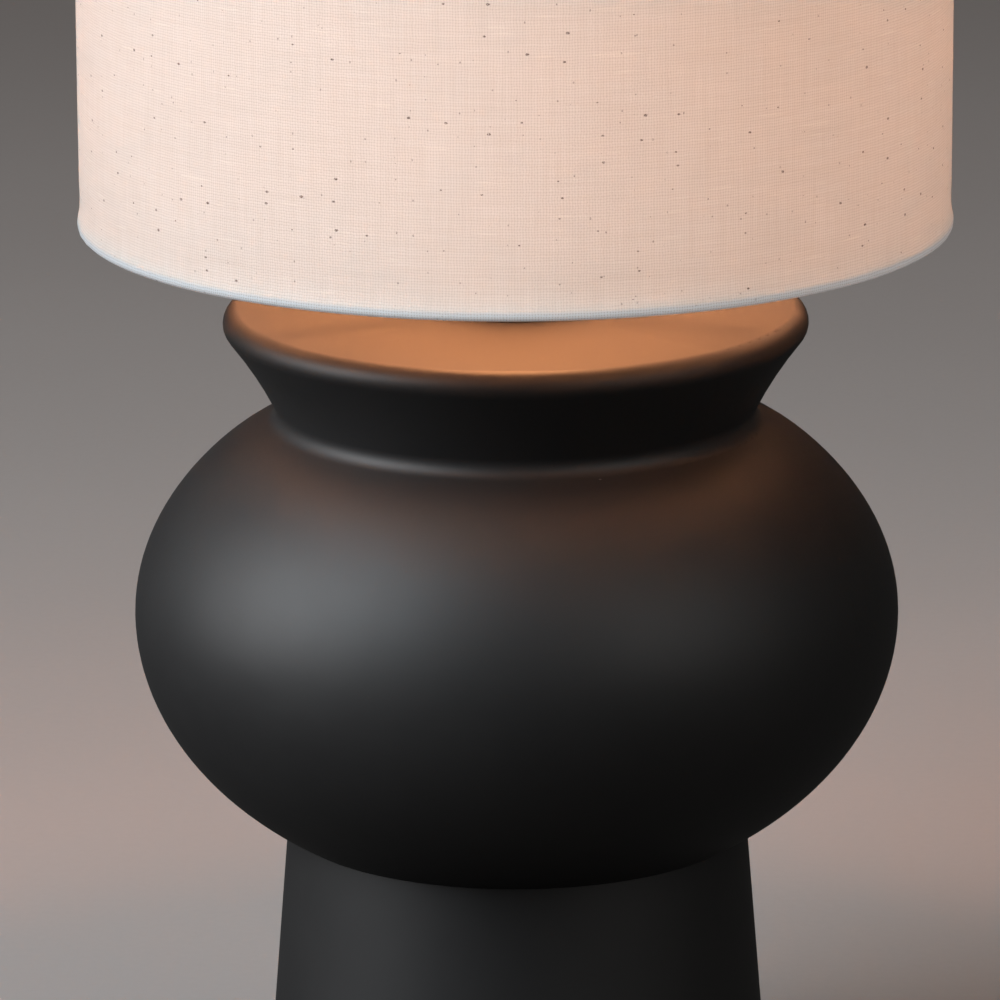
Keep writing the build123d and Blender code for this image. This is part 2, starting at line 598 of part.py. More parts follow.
# ------------------------------------------------------------------ bulb
CAP_WALL = 0.3
CAP_LIP = 1.5
CAP_TURNS = 5
CAP_THREAD_Z = CAP_Z + 0.8
CAP_THREAD_TOP_Z = CAP_THREAD_Z + CAP_TURNS * E27_PITCH
TIP_R = 4.8
TIP_H = 2.6
TIP_EDGE_R = 1.6
TIP_SEAT_R = 5.4
INSULATOR_R = 11.0
GLASS_T = 0.8
CEMENT_GAP = 0.1
BULB_NECK_R = 13.6
BULB_NECK_Z = CAP_TOP_Z + 1.5
BULB_NECK_H = 1.5
BALL_SWEEP = 130.0        # degrees of the ball, from its top to where the pear shape starts
GLASS_Z = CAP_TOP_Z - 4.0
STEM_R = 4.0
FLARE_R = 9.5
FLARE_H = 12.0
STEM_TOP_Z = CAP_TOP_Z + 30.0
FILAMENT_COUNT = 4
FILAMENT_R = 1.1
FILAMENT_EDGE_R = 0.5
FILAMENT_L = 34.0
FILAMENT_CIRCLE_R = 9.0
FILAMENT_Z = STEM_TOP_Z - 6.0
SUPPORT_R = 0.4

with BuildPart() as bulb_contact:
    revolve(ring_section(0, TIP_R, BULB_Z, TIP_H), axis=Axis.Z)
    fillet(bulb_contact.edges().group_by(Axis.Z)[0], TIP_EDGE_R)
save(bulb_contact, "bulb_contact")

with BuildPart() as bulb_insulator:
    with BuildSketch(Plane.XZ):
        with BuildLine():
            Polyline((0, BULB_Z + TIP_H), (TIP_SEAT_R, BULB_Z + TIP_H), (INSULATOR_R, CAP_Z),
                     (0, CAP_Z), (0, BULB_Z + TIP_H))
        make_face()
    revolve(axis=Axis.Z)
save(bulb_insulator, "bulb_insulator")

with BuildPart() as bulb_cap:
    cap_root_r = E27_CAP_R - E27_THREAD_DEPTH
    cap_middle_r = E27_CAP_R - E27_THREAD_DEPTH / 2
    cap_inside_r = cap_middle_r - CAP_WALL
    with BuildSketch(Plane.XZ):
        with BuildLine():
            Polyline((cap_middle_r, CAP_THREAD_Z), (INSULATOR_R, CAP_Z), (INSULATOR_R - CAP_LIP, CAP_Z),
                     (INSULATOR_R - CAP_LIP, CAP_Z + CAP_WALL), (cap_inside_r, CAP_THREAD_Z))
            thread_edges(CAP_THREAD_Z, CAP_TURNS, E27_PITCH, cap_root_r - CAP_WALL, E27_CAP_R - CAP_WALL)
            thread_edges(CAP_THREAD_Z, CAP_TURNS, E27_PITCH, cap_root_r, E27_CAP_R)
            Polyline((cap_middle_r, CAP_THREAD_TOP_Z), (cap_middle_r, CAP_TOP_Z),
                     (cap_inside_r, CAP_TOP_Z), (cap_inside_r, CAP_THREAD_TOP_Z))
        make_face()
    revolve(axis=Axis.Z)
save(bulb_cap, "bulb_cap")


def glass_section(inset):
    """Half section of the pear-shaped envelope; the neck goes down into the screw cap."""
    cemented_r = E27_CAP_R - E27_THREAD_DEPTH - CAP_WALL - CEMENT_GAP - inset
    neck_r = BULB_NECK_R - inset
    ball_r = BULB_R - inset
    with BuildSketch(Plane.XZ) as section:
        with BuildLine():
            ball = CenterArc((0, BULB_CENTRE_Z), ball_r, 90, -BALL_SWEEP)
            neck_z = BULB_NECK_Z + inset
            neck = Line((neck_r, neck_z), (neck_r, neck_z + BULB_NECK_H))
            Spline(ball @ 1, neck @ 1, tangents=(ball % 1, (0, -1)))
            Polyline(neck @ 0, (cemented_r, CAP_TOP_Z + inset), (cemented_r, GLASS_Z), (0, GLASS_Z),
                     ball @ 0)
        make_face()
    return section.sketch


with BuildPart() as bulb_glass:
    revolve(glass_section(0), axis=Axis.Z)
    revolve(glass_section(GLASS_T), axis=Axis.Z, mode=Mode.SUBTRACT)
save(bulb_glass, "bulb_glass")

with BuildPart() as bulb_stem:
    with BuildSketch(Plane.XZ):
        with BuildLine():
            Polyline((0, GLASS_Z), (FLARE_R, GLASS_Z), (STEM_R, GLASS_Z + FLARE_H), (STEM_R, STEM_TOP_Z),
                     (0, STEM_TOP_Z), (0, GLASS_Z))
        make_face()
    revolve(axis=Axis.Z)
save(bulb_stem, "bulb_stem")

with BuildPart() as bulb_filaments:
    with BuildSketch(Plane.XY.offset(FILAMENT_Z)):
        with PolarLocations(FILAMENT_CIRCLE_R, FILAMENT_COUNT):
            Circle(FILAMENT_R)
    extrude(amount=FILAMENT_L)
    fillet(bulb_filaments.edges().filter_by(GeomType.CIRCLE), FILAMENT_EDGE_R)
save(bulb_filaments, "bulb_filaments")

with BuildPart() as bulb_support_wires:
    hub_z = FILAMENT_Z + FILAMENT_L + SUPPORT_R
    with BuildSketch(Plane.XY.offset(STEM_TOP_Z)):
        Circle(SUPPORT_R)
    extrude(amount=hub_z - STEM_TOP_Z)
    for turn in range(FILAMENT_COUNT):
        angle = math.radians(turn * 360 / FILAMENT_COUNT)
        outward = (math.cos(angle), math.sin(angle), 0)
        with BuildSketch(Plane(origin=(0, 0, hub_z), z_dir=outward)):
            Circle(SUPPORT_R)
        extrude(amount=FILAMENT_CIRCLE_R)
save(bulb_support_wires, "bulb_support_wires")

DRIVER_W = 16.0
DRIVER_T = 1.2
DRIVER_Z = CAP_Z + 1.5
DRIVER_TOP_Z = GLASS_Z - 1.0
COMPONENT_Z = DRIVER_Z + 2.0
COMPONENT_H = 7.0
CAPACITOR_R = 2.5
CAPACITOR_AT = (-3.5, 2.6)
COIL_W = 4.0
COIL_DEPTH = 2.8
COIL_AT = (4.0, 1.8)

with BuildPart() as bulb_driver:
    with BuildSketch(Plane.XY.offset(DRIVER_Z)):
        Rectangle(DRIVER_W, DRIVER_T)
    extrude(amount=DRIVER_TOP_Z - DRIVER_Z)
    with BuildSketch(Plane.XY.offset(COMPONENT_Z)):
        with Locations(CAPACITOR_AT):
            Circle(CAPACITOR_R)
        with Locations(COIL_AT):
            Rectangle(COIL_W, COIL_DEPTH)
    extrude(amount=COMPONENT_H)
save(bulb_driver, "bulb_driver")
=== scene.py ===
"""The looks of a table lamp with a drum shade: camera, light, floor, cloth shade and materials.

Metres, +Z up. The lamp stands on z = 0 about the z axis, and its front is -Y.
"""

import math

import bmesh
import bpy
from mathutils import Matrix, Vector, noise


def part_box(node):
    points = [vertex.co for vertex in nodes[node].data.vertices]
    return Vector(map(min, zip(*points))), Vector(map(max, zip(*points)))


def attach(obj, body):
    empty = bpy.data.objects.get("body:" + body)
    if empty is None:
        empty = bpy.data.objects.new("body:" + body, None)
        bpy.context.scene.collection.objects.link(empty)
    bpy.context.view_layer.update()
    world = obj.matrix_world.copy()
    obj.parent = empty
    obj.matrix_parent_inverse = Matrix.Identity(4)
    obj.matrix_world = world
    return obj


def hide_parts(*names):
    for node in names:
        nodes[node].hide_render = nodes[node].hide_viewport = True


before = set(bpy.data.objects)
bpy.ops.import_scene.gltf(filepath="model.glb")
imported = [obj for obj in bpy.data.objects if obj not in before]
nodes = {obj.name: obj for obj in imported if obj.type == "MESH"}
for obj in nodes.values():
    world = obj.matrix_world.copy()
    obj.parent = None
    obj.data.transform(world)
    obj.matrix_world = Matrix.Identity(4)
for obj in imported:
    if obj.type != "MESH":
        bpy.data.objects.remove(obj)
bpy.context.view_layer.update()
scene = bpy.context.scene
MM = 0.001


# ------------------------------------------------------------------ places read from the frame
def middle(node):
    """Middle of a CAD node's box."""
    low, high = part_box(node)
    return (low + high) / 2


BOTTOM_RING_Z = middle("bottom_ring").z
TOP_RING_Z = middle("top_ring").z
SHADE_R = (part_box("shade_fabric")[1].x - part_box("shade_fabric")[0].x) / 2
LINER_LOW, LINER_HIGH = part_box("shade_liner")
BULB_BALL_R = (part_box("bulb_glass")[1].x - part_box("bulb_glass")[0].x) / 2
BULB_CENTRE = Vector((0, 0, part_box("bulb_glass")[1].z - BULB_BALL_R))

# ------------------------------------------------------------------ camera
CAMERA_DISTANCE = 3.0
CAMERA_ABOVE_SHADE = 0.6736       # above the shade's bottom ring
CAMERA_AIM = Vector((-0.0066, 0, 0.2867))
CAMERA_ROLL = -0.0041
SENSOR_WIDTH = 36.0
LENS = 276.0

camera_data = bpy.data.cameras.new("camera")
camera_data.sensor_width = SENSOR_WIDTH
camera_data.lens = LENS
camera_data.clip_end = 100
camera = bpy.data.objects.new("camera", camera_data)
scene.collection.objects.link(camera)
camera.location = (0, -CAMERA_DISTANCE, BOTTOM_RING_Z + CAMERA_ABOVE_SHADE)
look = (CAMERA_AIM - camera.location).to_track_quat("-Z", "Y")
camera.rotation_euler = (look.to_matrix() @ Matrix.Rotation(CAMERA_ROLL, 3, "Z")).to_euler()
scene.camera = camera
scene.view_settings.view_transform = "Standard"
scene.cycles.use_denoising = True


# ------------------------------------------------------------------ material building
class Shader:
    """One material's node tree while it is being built."""

    def __init__(self, name):
        self.material = bpy.data.materials.new(name)
        self.material.use_nodes = True
        self.tree = self.material.node_tree
        self.surface = self.tree.nodes["Principled BSDF"]
        self.output = self.tree.nodes["Material Output"]

    def put(self, socket, value):
        """Sets a socket, or links it when the value is another node's socket."""
        if isinstance(value, bpy.types.NodeSocket):
            self.tree.links.new(value, socket)
        else:
            socket.default_value = value

    def add(self, kind, inputs=None, **settings):
        node = self.tree.nodes.new("ShaderNode" + kind)
        for key, value in settings.items():
            setattr(node, key, value)
        for key, value in (inputs or {}).items():
            self.put(node.inputs[key], value)
        return node

    def math(self, operation, a, b=0.0, c=0.0):
        return self.add("Math", {0: a, 1: b, 2: c}, operation=operation).outputs[0]

    def remap(self, value, low, high, to_low=0.0, to_high=1.0):
        """The value's stretch from low to high, clamped and spread from to_low to to_high."""
        inputs = {"Value": value, "From Min": low, "From Max": high, "To Min": to_low, "To Max": to_high}
        return self.add("MapRange", inputs).outputs["Result"]

    def mix(self, factor, a, b):
        """A blend of two colours."""
        node = self.add("Mix", {0: factor}, data_type="RGBA")
        self.put(node.inputs[6], a)
        self.put(node.inputs[7], b)
        return node.outputs[2]

    def place(self):
        """Coordinates fixed to the piece, in metres."""
        return self.add("TexCoord").outputs["Object"]

    def stretch(self, vector, scale):
        return self.add("Mapping", {"Vector": vector, "Scale": scale}).outputs["Vector"]

    def noise(self, vector, scale, detail=2.0, roughness=0.5):
        inputs = {"Vector": vector, "Scale": scale, "Detail": detail, "Roughness": roughness}
        return self.add("TexNoise", inputs).outputs["Fac"]

    def bump(self, height, distance, strength=1.0, normal=None):
        """A normal from a height that runs from 0 to 1 over this distance in metres."""
        node = self.add("Bump", {"Height": height, "Distance": distance, "Strength": strength})
        if normal:
            self.put(node.inputs["Normal"], normal)
        return node.outputs["Normal"]

    def finish(self, **inputs):
        """Sets the Principled shader's sockets by name, with _ for a space."""
        for key, value in inputs.items():
            self.put(self.surface.inputs[key.replace("_", " ")], value)
        return self.material


def rgb(red, green, blue):
    return (red, green, blue, 1.0)


def dots(shader, vector, spacing, radius, share, dimensions="3D"):
    """Mask of scattered round dots, up to this radius, in this share of cells of this spacing."""
    cells = shader.add("TexVoronoi", {"Vector": vector, "Scale": 1 / spacing, "Randomness": 1.0},
                       voronoi_dimensions=dimensions)
    chance = shader.add("SeparateColor", {"Color": cells.outputs["Color"]}).outputs["Red"]
    size = shader.remap(chance, 1 - share, 1.0, 0.0, radius / spacing)
    edge = shader.math("SUBTRACT", size, cells.outputs["Distance"])
    return shader.remap(edge, 0.0, 0.25 * radius / spacing)


# ------------------------------------------------------------------ the shade's cloth
CLOTH_TRANSLUCENCY = 0.215
HEM_LEAK = 0.02 * CLOTH_TRANSLUCENCY
LINER_TRANSLUCENCY = 0.2
THREAD_PITCH = 1.1 * MM
HEM_LENGTH = 12.2 * MM            # cloth at each end that is rolled round the wire and glued
HEM_EDGE = 0.7 * MM               # over which the hem gives way to the open, lit cloth


def thread_tint(shader, across, along):
    """Light and dark threads, each one nearly the same along its length."""
    vector = shader.add("CombineXYZ", {"X": across, "Y": along}).outputs["Vector"]
    fine = shader.noise(shader.stretch(vector, (1 / THREAD_PITCH, 40.0, 1.0)), 0.9, 1.0)
    broad = shader.noise(shader.stretch(vector, (0.2 / THREAD_PITCH, 20.0, 1.0)), 1.0, 1.0)
    return shader.math("MULTIPLY_ADD", broad, 0.5, fine)


def weave(shader, cloth, around, along):
    """Plain weave: how dark each gap between threads is, how dark each hole, and the threads' height."""
    wobble_u = shader.noise(cloth, 260.0, 2.0)
    wobble_v = shader.noise(shader.stretch(cloth, (1.0, 1.7, 1.0)), 190.0, 2.0)
    u = shader.math("MULTIPLY_ADD", wobble_u, 0.9, shader.math("DIVIDE", around, THREAD_PITCH))
    v = shader.math("MULTIPLY_ADD", wobble_v, 0.9, shader.math("DIVIDE", along, THREAD_PITCH))
    wave_u = shader.math("COSINE", shader.math("MULTIPLY", u, 2 * math.pi))
    wave_v = shader.math("COSINE", shader.math("MULTIPLY", v, 2 * math.pi))
    gap_u = shader.remap(wave_u, 0.1, 1.0)
    gap_v = shader.remap(wave_v, 0.1, 1.0)
    gaps = shader.math("MAXIMUM", gap_u, gap_v)
    holes = shader.math("MULTIPLY", gap_u, gap_v)
    over = shader.math("MULTIPLY", shader.math("COSINE", shader.math("MULTIPLY", u, math.pi)),
                       shader.math("COSINE", shader.math("MULTIPLY", v, math.pi)))
    height = shader.math("MULTIPLY_ADD", over, 0.25, shader.math("MULTIPLY_ADD", gaps, -0.6, 0.75))
    return gaps, holes, height


def seed_flecks(shader, cloth):
    """Mask of ragged dark seed flecks, some coarse and more of them small."""
    coarse = dots(shader, shader.stretch(cloth, (1.0, 1.5, 1.0)), 15 * MM, 0.9 * MM, 0.6, "2D")
    small = dots(shader, shader.stretch(cloth, (1.3, 1.0, 1.0)), 8 * MM, 0.55 * MM, 0.5, "2D")
    ragged = shader.remap(shader.noise(cloth, 2200.0, 1.0), 0.25, 0.6)
    both = shader.math("MAXIMUM", coarse, shader.math("MULTIPLY", small, 0.6))
    return shader.math("MULTIPLY", both, ragged)


def slubs(shader, around, along):
    """Mask of thick stretches in the threads that run round the shade."""
    place = shader.stretch(shader.add("CombineXYZ", {"X": along, "Y": around}).outputs["Vector"],
                           (0.5 / THREAD_PITCH, 45.0, 1.0))
    return shader.remap(shader.noise(place, 1.0, 0.0), 0.74, 0.8)


def open_stretch(shader, along):
    """Mask of the cloth between the two hems."""
    length_end = shader.math("SUBTRACT", COVER_LENGTH, along)
    from_end = shader.math("MINIMUM", along, length_end)
    return shader.remap(from_end, HEM_LENGTH - HEM_EDGE, HEM_LENGTH + HEM_EDGE)


def cotton():
    """Natural plain-weave cotton, translucent between its hems, with dark seed flecks and a few slubs."""
    shader = Shader("cotton_cloth")
    cloth = shader.add("UVMap", uv_map="cloth").outputs["UV"]
    split = shader.add("SeparateXYZ", {"Vector": cloth})
    around, along = split.outputs["X"], split.outputs["Y"]
    gaps, holes, height = weave(shader, cloth, around, along)
    slub = slubs(shader, around, along)
    open_cloth = open_stretch(shader, along)
    hem = shader.math("SUBTRACT", 1.0, open_cloth)

    warp = thread_tint(shader, around, along)
    weft = thread_tint(shader, along, around)
    tint = shader.remap(shader.math("ADD", warp, weft), 1.0, 2.0)
    patches = shader.noise(cloth, 14.0, 3.0)
    colour = shader.mix(tint, rgb(0.75, 0.71, 0.66), rgb(0.82, 0.79, 0.75))
    colour = shader.mix(shader.math("MULTIPLY", patches, 0.18), colour, rgb(0.8, 0.71, 0.6))
    colour = shader.mix(shader.math("MULTIPLY", slub, 0.35), colour, rgb(0.9, 0.87, 0.8))
    # painted shade: the hem band is darkened to a cool grey and its holes made deeper, where no light comes
    # through the cloth from inside
    colour = shader.mix(shader.math("MULTIPLY", hem, 0.6), colour, rgb(0.52, 0.55, 0.60))
    hole_shade = shader.math("MULTIPLY", holes, shader.math("MULTIPLY_ADD", hem, 0.5, 0.3))
    shaded = shader.math("MULTIPLY_ADD", gaps, 0.16, hole_shade)
    colour = shader.mix(shaded, colour, rgb(0.36, 0.31, 0.28))
    colour = shader.mix(seed_flecks(shader, cloth), colour, rgb(0.1, 0.065, 0.045))
    normal = shader.bump(shader.math("MULTIPLY_ADD", slub, 0.3, height), 0.12 * MM, 0.8)

    shader.finish(Base_Color=colour, Roughness=0.92, Normal=normal, Sheen_Weight=0.15,
                  Sheen_Roughness=0.5, Specular_IOR_Level=0.2)
    glow = shader.add("BsdfTranslucent", {"Color": colour, "Normal": normal})
    amount = shader.math("MULTIPLY_ADD", open_cloth, CLOTH_TRANSLUCENCY - HEM_LEAK, HEM_LEAK)
    blend = shader.add("MixShader", {0: amount, 1: shader.surface.outputs[0], 2: glow.outputs[0]})
    shader.tree.links.new(blend.outputs[0], shader.output.inputs["Surface"])
    return shader.material


def liner_film():
    """Smooth white styrene film, with the faint haze of rolled sheet."""
    shader = Shader("liner_film_white")
    haze = shader.noise(shader.place(), 60.0, 3.0)
    colour = shader.mix(haze, rgb(0.84, 0.82, 0.78), rgb(0.9, 0.88, 0.85))
    normal = shader.bump(haze, 0.05 * MM, 0.3)
    shader.finish(Base_Color=colour, Roughness=0.5, Normal=normal)
    glow = shader.add("BsdfTranslucent", {"Color": colour})
    blend = shader.add("MixShader", {0: LINER_TRANSLUCENCY, 1: shader.surface.outputs[0],
                                     2: glow.outputs[0]})
    shader.tree.links.new(blend.outputs[0], shader.output.inputs["Surface"])
    return shader.material


# ------------------------------------------------------------------ ceramic and small parts
BULB_GLOW = 9.0


def black_ceramic():
    """Matt black glaze with a fine skin, uneven gloss and specks, and a lighter, duller flat top: settled
    dust together with painted light from the bulb.
    """
    shader = Shader("black_glaze")
    place = shader.place()
    skin = shader.noise(place, 900.0, 3.0, 0.6)
    rolling = shader.noise(place, 22.0, 2.0)
    cloud = shader.noise(place, 9.0, 4.0, 0.6)
    dust = dots(shader, place, 16 * MM, 0.45 * MM, 0.25)
    lint = dots(shader, shader.stretch(place, (1.0, 1.0, 3.0)), 34 * MM, 0.7 * MM, 0.3)
    specks = shader.math("MULTIPLY", shader.math("MAXIMUM", dust, lint), 0.35)
    colour = shader.mix(cloud, rgb(0.003, 0.003, 0.0033), rgb(0.006, 0.0056, 0.0056))
    colour = shader.mix(specks, colour, rgb(0.3, 0.28, 0.26))
    facing = shader.add("NewGeometry").outputs["Normal"]
    upward = shader.add("SeparateXYZ", {"Vector": facing}).outputs["Z"]
    # painted light with dust: faces that point up get a lighter colour, duller gloss and less shine,
    # standing in for the bulb's light on the flat top as well as for dust
    top_dust_and_painted_light = shader.remap(upward, 0.94, 1.0)
    painted_light_dust_colour = shader.mix(cloud, rgb(0.042, 0.04, 0.038), rgb(0.058, 0.055, 0.052))
    colour = shader.mix(top_dust_and_painted_light, colour, painted_light_dust_colour)
    gloss = shader.remap(shader.math("MULTIPLY_ADD", skin, 0.4, cloud), 0.4, 1.0, 0.51, 0.61)
    roughness = shader.math("MULTIPLY_ADD", top_dust_and_painted_light, 0.14, gloss)
    shine = shader.remap(top_dust_and_painted_light, 0.0, 1.0, 0.3, 0.07)
    fine = shader.bump(skin, 0.02 * MM, 0.6)
    normal = shader.bump(rolling, 0.5 * MM, 0.25, fine)
    return shader.finish(Base_Color=colour, Roughness=roughness, Normal=normal,
                         Specular_IOR_Level=shine)


def felt():
    shader = Shader("pressed_felt")
    place = shader.place()
    fibres = shader.noise(shader.stretch(place, (1.0, 2.5, 1.0)), 1400.0, 4.0, 0.7)
    colour = shader.mix(fibres, rgb(0.02, 0.018, 0.016), rgb(0.1, 0.09, 0.08))
    normal = shader.bump(fibres, 0.4 * MM, 0.8)
    return shader.finish(Base_Color=colour, Roughness=1.0, Normal=normal, Sheen_Weight=0.4)


def moulded(name, dark, light, roughness, grain):
    """Moulded plastic or rubber: fine grain of this size, and cloudy gloss."""
    shader = Shader(name)
    place = shader.place()
    fine = shader.noise(place, 1 / grain, 3.0, 0.6)
    cloud = shader.noise(place, 70.0, 3.0)
    colour = shader.mix(cloud, rgb(*dark), rgb(*light))
    gloss = shader.remap(cloud, 0.3, 0.7, roughness - 0.06, roughness + 0.06)
    normal = shader.bump(fine, 0.05 * MM, 0.5)
    return shader.finish(Base_Color=colour, Roughness=gloss, Normal=normal)


def metal(name, dark, light, roughness, brushed=(1.0, 1.0, 1.0), tarnish=None):
    """Bare or plated metal: brushed along the axis with the smallest scale, a little tarnished."""
    shader = Shader(name)
    place = shader.place()
    lines = shader.noise(shader.stretch(place, brushed), 900.0, 3.0, 0.6)
    cloud = shader.noise(place, 90.0, 4.0, 0.6)
    colour = shader.mix(lines, rgb(*dark), rgb(*light))
    if tarnish:
        spots = shader.remap(cloud, 0.5, 0.75, 0.0, 0.6)
        colour = shader.mix(spots, colour, rgb(*tarnish))
    gloss = shader.remap(cloud, 0.3, 0.7, roughness - 0.08, roughness + 0.08)
    normal = shader.bump(lines, 0.02 * MM, 0.5)
    return shader.finish(Base_Color=colour, Roughness=gloss, Normal=normal, Metallic=1.0)


def steatite():
    shader = Shader("glazed_steatite")
    place = shader.place()
    specks = dots(shader, place, 1.6 * MM, 0.15 * MM, 0.4)
    body = shader.mix(shader.noise(place, 300.0, 3.0), rgb(0.78, 0.75, 0.68), rgb(0.84, 0.82, 0.77))
    colour = shader.mix(shader.math("MULTIPLY", specks, 0.5), body, rgb(0.4, 0.36, 0.3))
    normal = shader.bump(shader.noise(place, 700.0, 2.0), 0.03 * MM, 0.4)
    return shader.finish(Base_Color=colour, Roughness=0.3, Normal=normal)


def opal_glass():
    """Soft-white bulb glass: its light comes through an even coat inside."""
    shader = Shader("opal_bulb_glass")
    place = shader.place()
    coat = shader.noise(place, 120.0, 3.0)
    colour = shader.mix(coat, rgb(0.93, 0.9, 0.85), rgb(0.98, 0.96, 0.92))
    light = shader.mix(coat, rgb(1.0, 0.60, 0.28), rgb(1.0, 0.66, 0.34))
    normal = shader.bump(coat, 0.05 * MM, 0.2)
    return shader.finish(Base_Color=colour, Roughness=0.18, Normal=normal, Emission_Color=light,
                         Emission_Strength=BULB_GLOW)


def stem_glass():
    shader = Shader("lead_glass")
    cloud = shader.noise(shader.place(), 150.0, 2.0)
    colour = shader.mix(cloud, rgb(0.82, 0.88, 0.86), rgb(0.9, 0.93, 0.91))
    return shader.finish(Base_Color=colour, Roughness=0.05, Transmission_Weight=0.9)


def phosphor():
    shader = Shader("phosphor_coat")
    grain = shader.noise(shader.place(), 1800.0, 3.0)
    colour = shader.mix(grain, rgb(0.86, 0.6, 0.12), rgb(0.98, 0.76, 0.25))
    normal = shader.bump(grain, 0.08 * MM, 0.6)
    return shader.finish(Base_Color=colour, Roughness=0.7, Normal=normal)


def circuit_board():
    shader = Shader("solder_mask")
    place = shader.place()
    weave = shader.noise(shader.stretch(place, (3.0, 1.0, 1.0)), 900.0, 2.0)
    pads = dots(shader, place, 2.5 * MM, 0.5 * MM, 0.5)
    colour = shader.mix(weave, rgb(0.02, 0.14, 0.05), rgb(0.04, 0.22, 0.08))
    colour = shader.mix(pads, colour, rgb(0.55, 0.55, 0.52))
    return shader.finish(Base_Color=colour, Roughness=0.35, Normal=shader.bump(weave, 0.03 * MM, 0.5))


SPUN = (1.0, 1.0, 6.0)            # turned or spun parts: fine lines round the z axis

# ------------------------------------------------------------------ the cloth cover's outline
WALL_R = SHADE_R - 0.55 * MM      # the cloth's middle layer on the wall
FLAP_R = WALL_R - 1.65 * MM       # the turned-in flap, inside the liner
BEAD_R = 2.1 * MM                 # the hem rolled round the wire ring
BEAD_CENTRE_R = SHADE_R + 0.3 * MM - BEAD_R
FLAP_HEIGHT = 3.2 * MM
PULL_IN = 0.2 * MM                # how far the wall draws in just past each hem
PULL_AT = 10 * MM
PULL_WIDTH = 5 * MM
SEGMENTS = 576
WALL_STEP = 4 * MM
OVERLAP_ANGLE = math.pi / 2       # the cloth's ends meet at the rear
OVERLAP_WIDTH = 9 * MM
OVERLAP_STEP = 0.45 * MM
SLACK = 0.30 * MM                 # slow unevenness of the whole wall
PUCKER = 0.16 * MM                # short waves beside the hems
HEM_REACH = 9 * MM


def wall_radius(distance):
    """The wall's radius at this height from the nearer wire ring."""
    swell = math.exp(-(distance / (3.4 * MM)) ** 2)
    pull = math.exp(-((distance - PULL_AT) / PULL_WIDTH) ** 2)
    full = WALL_R + (BEAD_CENTRE_R + BEAD_R - WALL_R) * swell
    return full - PULL_IN * pull


def cover_outline():
    """(radius, height) points of the cloth, from the lower flap's edge to the upper flap's edge."""
    height = TOP_RING_Z - BOTTOM_RING_Z
    end = [(FLAP_R, FLAP_HEIGHT), (FLAP_R, 0.75 * FLAP_HEIGHT), (FLAP_R - 0.1 * MM, 0.5 * FLAP_HEIGHT),
           (FLAP_R - 0.5 * MM, 0.32 * FLAP_HEIGHT)]
    for degrees in range(160, 361, 20):
        angle = math.radians(degrees)
        end.append((BEAD_CENTRE_R + BEAD_R * math.cos(angle), BEAD_R * math.sin(angle)))
    for rise in (1.2, 2.4, 3.6, 4.8, 6.0, 7.5, 9.0, 11.0, 13.5, 16.5, 20.0):
        end.append((wall_radius(rise * MM), rise * MM))
    lower = [(r, BOTTOM_RING_Z + z) for r, z in end]
    upper = [(r, TOP_RING_Z - z) for r, z in reversed(end)]
    first, last = end[-1][1], height - end[-1][1]
    steps = round((last - first) / WALL_STEP)
    middle_part = []
    for i in range(1, steps):
        z = first + (last - first) * i / steps
        middle_part.append((wall_radius(min(z, height - z)), BOTTOM_RING_Z + z))
    return lower + middle_part + upper


def outline_lengths(outline):
    """Distance along the outline to each of its points."""
    lengths = [0.0]
    for (r0, z0), (r1, z1) in zip(outline, outline[1:]):
        lengths.append(lengths[-1] + math.hypot(r1 - r0, z1 - z0))
    return lengths


COVER = cover_outline()
COVER_LENGTH = outline_lengths(COVER)[-1]


def cover_offset(angle, radius, z):
    """How far the cloth stands off its outline: slack, puckers at the hems and the rear overlap."""
    around = Vector((math.cos(angle), math.sin(angle), 0))
    slack = SLACK * noise.noise(around * 4 + Vector((0, 0, z * 14)))
    ring_distance = min(abs(z - BOTTOM_RING_Z), abs(TOP_RING_Z - z))
    near_hem = math.exp(-(ring_distance / HEM_REACH) ** 2)
    pucker = PUCKER * near_hem * noise.noise(around * 26 + Vector((0, 0, z * 60)))
    turned = (angle - OVERLAP_ANGLE) % (2 * math.pi) * SHADE_R
    lap = OVERLAP_STEP * max(0.0, min(1.0, (OVERLAP_WIDTH - turned) / (2.5 * MM)))
    outside = 1.0 if radius > BEAD_CENTRE_R else 0.0
    inside_room = 0.3 if radius <= BEAD_CENTRE_R else 1.0
    return (slack + pucker) * inside_room + lap * outside


def lathe(name, outline, offset, material, uv_name):
    """A single-layer sheet of revolution with a UV map in metres: round the sheet, and along it."""
    lengths = outline_lengths(outline)
    points = []
    for i in range(SEGMENTS):
        angle = OVERLAP_ANGLE + 2 * math.pi * i / SEGMENTS
        for r, z in outline:
            full = r + offset(angle, r, z)
            points.append((full * math.cos(angle), full * math.sin(angle), z))
    rows = len(outline)
    faces = []
    places = []
    step = 2 * math.pi * SHADE_R / SEGMENTS
    for i in range(SEGMENTS):
        here, there = i * rows, (i + 1) % SEGMENTS * rows
        for j in range(rows - 1):
            faces.append((here + j, there + j, there + j + 1, here + j + 1))
            places += [(i * step, lengths[j]), ((i + 1) * step, lengths[j]),
                       ((i + 1) * step, lengths[j + 1]), (i * step, lengths[j + 1])]
    mesh = bpy.data.meshes.new(name)
    mesh.from_pydata(points, [], faces)
    layer = mesh.uv_layers.new(name=uv_name)
    for loop, place in zip(layer.data, places):
        loop.uv = place
    mesh.polygons.foreach_set("use_smooth", [True] * len(faces))
    mesh.materials.append(material)
    mesh.update()
    piece = bpy.data.objects.new(name, mesh)
    scene.collection.objects.link(piece)
    return piece


